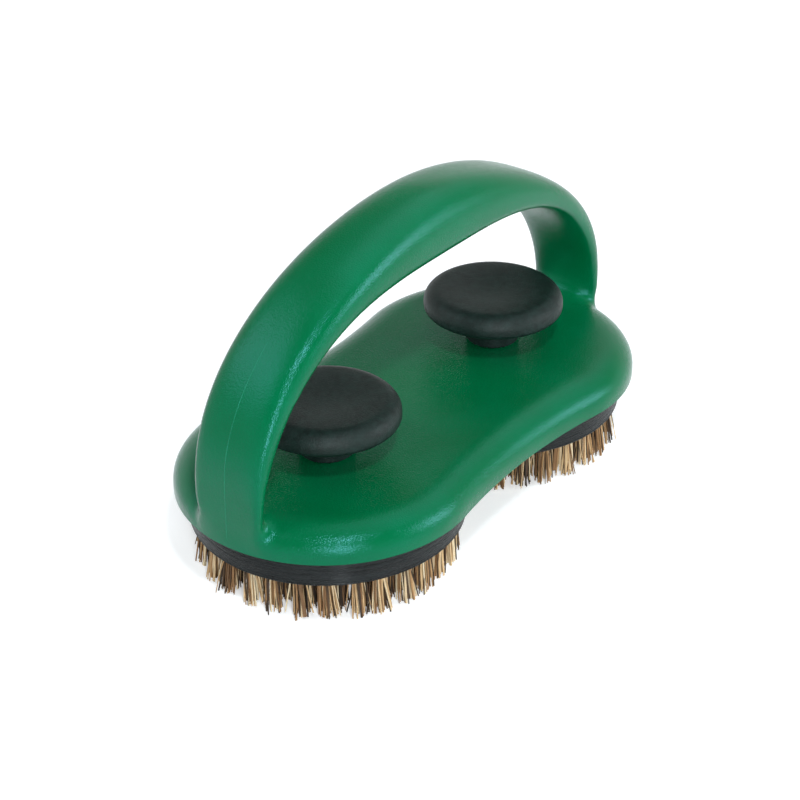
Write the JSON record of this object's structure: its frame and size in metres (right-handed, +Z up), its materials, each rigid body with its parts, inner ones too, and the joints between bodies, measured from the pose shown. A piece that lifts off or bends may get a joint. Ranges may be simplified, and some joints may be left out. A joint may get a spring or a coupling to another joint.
{
  "type": "grill scrubber",
  "caption": "Grill scrubber with an arched grip handle on a two-lobed base and round, tufted natural-fibre brush heads, each clamped on by a mushroom-shaped screw knob.",
  "frame": {"origin": "on the ground at the bristle tips, under the middle of the part", "axes": "+X along the length from the left head to the right head, +Y across the part, +Z up"},
  "size_m": [0.2146, 0.1106, 0.1247],
  "materials": {
    "green_plastic": "satin moulded polypropylene with a fine grain",
    "knob_plastic": "matt moulded plastic",
    "backing_plastic": "satin, faint turned lines round the rim",
    "fibre": "coarse palm fibre, mixed cream, tan and brown",
    "zinc_steel": "zinc-plated",
    "brass": "turned"
  },
  "bodies": {
    "body": {"handle_body": "green_plastic"},
    "left_washer": {"left_washer": "zinc_steel"},
    "left_knob": {"left_knob": "knob_plastic", "left_insert": "brass"},
    "left_head": {"left_disc": "backing_plastic", "left_bristles": "fibre", "left_stud": "zinc_steel", "left_retainer": "zinc_steel"},
    "right_washer": {"right_washer": "zinc_steel"},
    "right_knob": {"right_knob": "knob_plastic", "right_insert": "brass"},
    "right_head": {"right_disc": "backing_plastic", "right_bristles": "fibre", "right_stud": "zinc_steel", "right_retainer": "zinc_steel"}
  },
  "joints": [
    {"name": "left_knob_lift", "type": "slide", "parent": "body", "child": "left_washer", "axis": [0, 0, 1], "range_m": [0, 0.0128]},
    {"name": "left_knob_turn", "type": "hinge", "parent": "left_washer", "child": "left_knob", "pos_m": [-0.052, 0, 0.0408], "axis": [0, 0, 1], "range_deg": [0, 3240]},
    {"name": "left_head_release", "type": "slide", "parent": "body", "child": "left_head", "axis": [0, 0, -1], "range_m": [0, 0.03]},
    {"name": "right_knob_lift", "type": "slide", "parent": "body", "child": "right_washer", "axis": [0, 0, 1], "range_m": [0, 0.0128]},
    {"name": "right_knob_turn", "type": "hinge", "parent": "right_washer", "child": "right_knob", "pos_m": [0.052, 0, 0.0408], "axis": [0, 0, 1], "range_deg": [0, 3240]},
    {"name": "right_head_release", "type": "slide", "parent": "body", "child": "right_head", "axis": [0, 0, -1], "range_m": [0, 0.03]}
  ],
  "couplings": [
    {"joint": "left_knob_lift", "follows": "left_knob_turn", "m_per_rad": 0.00022459},
    {"joint": "right_knob_lift", "follows": "right_knob_turn", "m_per_rad": 0.00022459}
  ]
}
